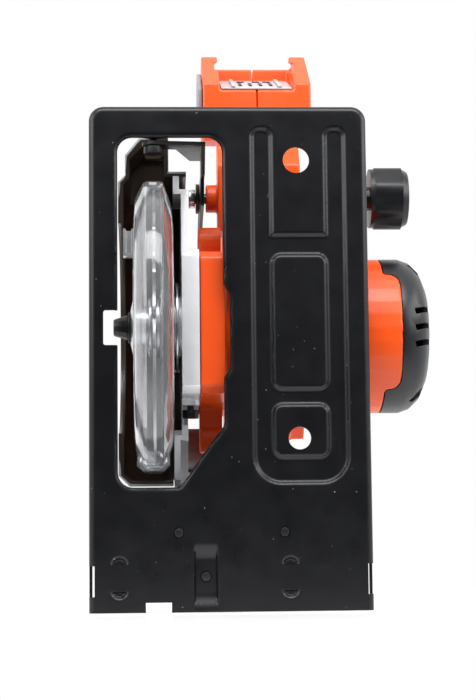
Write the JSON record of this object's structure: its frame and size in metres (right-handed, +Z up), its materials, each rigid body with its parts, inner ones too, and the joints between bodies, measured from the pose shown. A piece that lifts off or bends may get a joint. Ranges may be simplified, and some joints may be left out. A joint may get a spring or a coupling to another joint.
{
  "type": "circular saw",
  "caption": "Compact cordless circular saw: tilting sole plate, spring-back clear lower guard, transverse motor, closed-loop rear handle with slide battery foot.",
  "frame": {"origin": "underside of the sole plate, under the arbor, on the land between the blade window and the stiffening ladder", "axes": "+X to the motor side, +Y in the direction of cut, +Z up from the sole"},
  "size_m": [0.1876, 0.3265, 0.205],
  "materials": {
    "sole_steel": "satin black powder coat",
    "bracket_steel": "black, semi-gloss",
    "bare_steel": "turned, bright",
    "blade_steel": "ground, bright",
    "casting": "die cast, satin",
    "guard_dark": "dark brown, glossy inside",
    "clear_guard": "clear polycarbonate",
    "orange_shell": "moulded, fine satin",
    "black_plastic": "moulded, satin",
    "rubber_black": "overmoulded grip",
    "pad_grey": "soft grey pad",
    "terminal_grey": "pale grey nylon",
    "copper": "copper windings"
  },
  "bodies": {
    "shoe": {"sole_plate": "sole_steel", "bevel_quadrant": "bracket_steel", "rear_bevel_ear": "bracket_steel", "quadrant_rivet_left": "bracket_steel", "quadrant_rivet_right": "bracket_steel"},
    "fence_thumbscrew": {"fence_screw": "black_plastic"},
    "tilt_frame": {"front_bevel_bracket": "bracket_steel", "depth_bracket": "bracket_steel", "front_bevel_pin": "bare_steel", "rear_bevel_pin": "bracket_steel", "depth_pivot_pin": "bare_steel", "bevel_bolt": "bare_steel"},
    "bevel_lock": {"bevel_knob": "black_plastic"},
    "saw_head": {"upper_guard": "guard_dark", "gear_case": "casting", "bearing_plate": "casting", "spindle_bearing_left": "bare_steel", "spindle_bearing_right": "bare_steel", "motor_bearing_front": "bare_steel", "motor_bearing_rear": "bare_steel", "case_screw_rear": "bare_steel", "case_screw_front": "bare_steel", "motor_housing": "orange_shell", "motor_end_cap": "black_plastic", "cap_screw_rear": "bare_steel", "cap_screw_front": "bare_steel", "motor_can": "bare_steel", "brush_holder_lower": "copper", "brush_holder_upper": "copper", "handle_shell_left": "orange_shell", "handle_shell_right": "orange_shell", "handle_screw_front": "bare_steel", "handle_screw_rear": "bare_steel", "handle_screw_foot": "bare_steel", "grip_rubber": "rubber_black", "terminal_block": "terminal_grey", "foot_side_pad": "pad_grey", "switch_module": "black_plastic", "depth_clamp_washer": "black_plastic", "guard_retaining_ring": "bare_steel", "guard_spring": "bare_steel"},
    "depth_lock": {"depth_knob": "black_plastic", "depth_clamp_bolt": "bare_steel"},
    "swing_guard": {"lower_guard": "clear_guard", "guard_lever": "clear_guard"},
    "blade_spindle": {"spindle": "bare_steel", "spindle_gear": "bare_steel", "inner_flange": "bare_steel", "saw_blade": "blade_steel", "outer_flange": "bare_steel", "bolt_washer": "bracket_steel", "blade_bolt": "bracket_steel"},
    "rotor": {"rotor_shaft": "bare_steel", "pinion": "bare_steel", "cooling_fan": "black_plastic", "armature": "copper", "commutator": "copper"},
    "trigger_lever": {"trigger": "black_plastic"},
    "lock_off": {"lock_off_button": "black_plastic"},
    "spindle_lock": {"spindle_lock_button": "black_plastic"}
  },
  "joints": [
    {"name": "bevel_tilt", "type": "hinge", "parent": "shoe", "child": "tilt_frame", "pos_m": [-0.046, 0, 0.009], "axis": [0, -1, 0], "range_deg": [0, 45]},
    {"name": "depth_swing", "type": "hinge", "parent": "tilt_frame", "child": "saw_head", "pos_m": [-0.03, 0.094, 0.042], "axis": [-1, 0, 0], "range_deg": [0, 20]},
    {"name": "guard_swing", "type": "hinge", "parent": "saw_head", "child": "swing_guard", "pos_m": [-0.046, 0, 0.027], "axis": [-1, 0, 0], "range_deg": [0, 130], "stiffness_Nm_per_rad": 0.05, "springref_deg": -45.84},
    {"name": "spindle_turn", "type": "hinge", "parent": "saw_head", "child": "blade_spindle", "pos_m": [-0.046, 0, 0.027], "axis": [1, 0, 0], "continuous": true},
    {"name": "rotor_turn", "type": "hinge", "parent": "saw_head", "child": "rotor", "pos_m": [0.03, 0.00248, 0.05376], "axis": [1, 0, 0], "continuous": true},
    {"name": "trigger_pull", "type": "slide", "parent": "saw_head", "child": "trigger_lever", "axis": [0, 0, 1], "range_m": [0, 0.0025], "stiffness_N_per_m": 1500, "springref_m": -0.002},
    {"name": "lock_off_press", "type": "slide", "parent": "saw_head", "child": "lock_off", "axis": [1, 0, 0], "range_m": [-0.002, 0.002], "stiffness_N_per_m": 800},
    {"name": "spindle_lock_press", "type": "slide", "parent": "saw_head", "child": "spindle_lock", "axis": [0, -1, 0], "range_m": [0, 0.0018], "stiffness_N_per_m": 900, "springref_m": -0.001},
    {"name": "depth_lock_turn", "type": "hinge", "parent": "saw_head", "child": "depth_lock", "pos_m": [0.08, -0.078, 0.06], "axis": [1, 0, 0], "range_deg": [-180, 180]},
    {"name": "bevel_lock_turn", "type": "hinge", "parent": "tilt_frame", "child": "bevel_lock", "pos_m": [0.01309, 0.12, 0.01942], "axis": [0, 1, 0], "range_deg": [-180, 180]},
    {"name": "fence_screw_turn", "type": "hinge", "parent": "shoe", "child": "fence_thumbscrew", "pos_m": [-0.0196, 0.135, 0.015], "axis": [0, 0, 1], "range_deg": [-180, 180]}
  ],
  "couplings": [
    {"joint": "rotor_turn", "follows": "spindle_turn", "ratio": -3.7778}
  ]
}
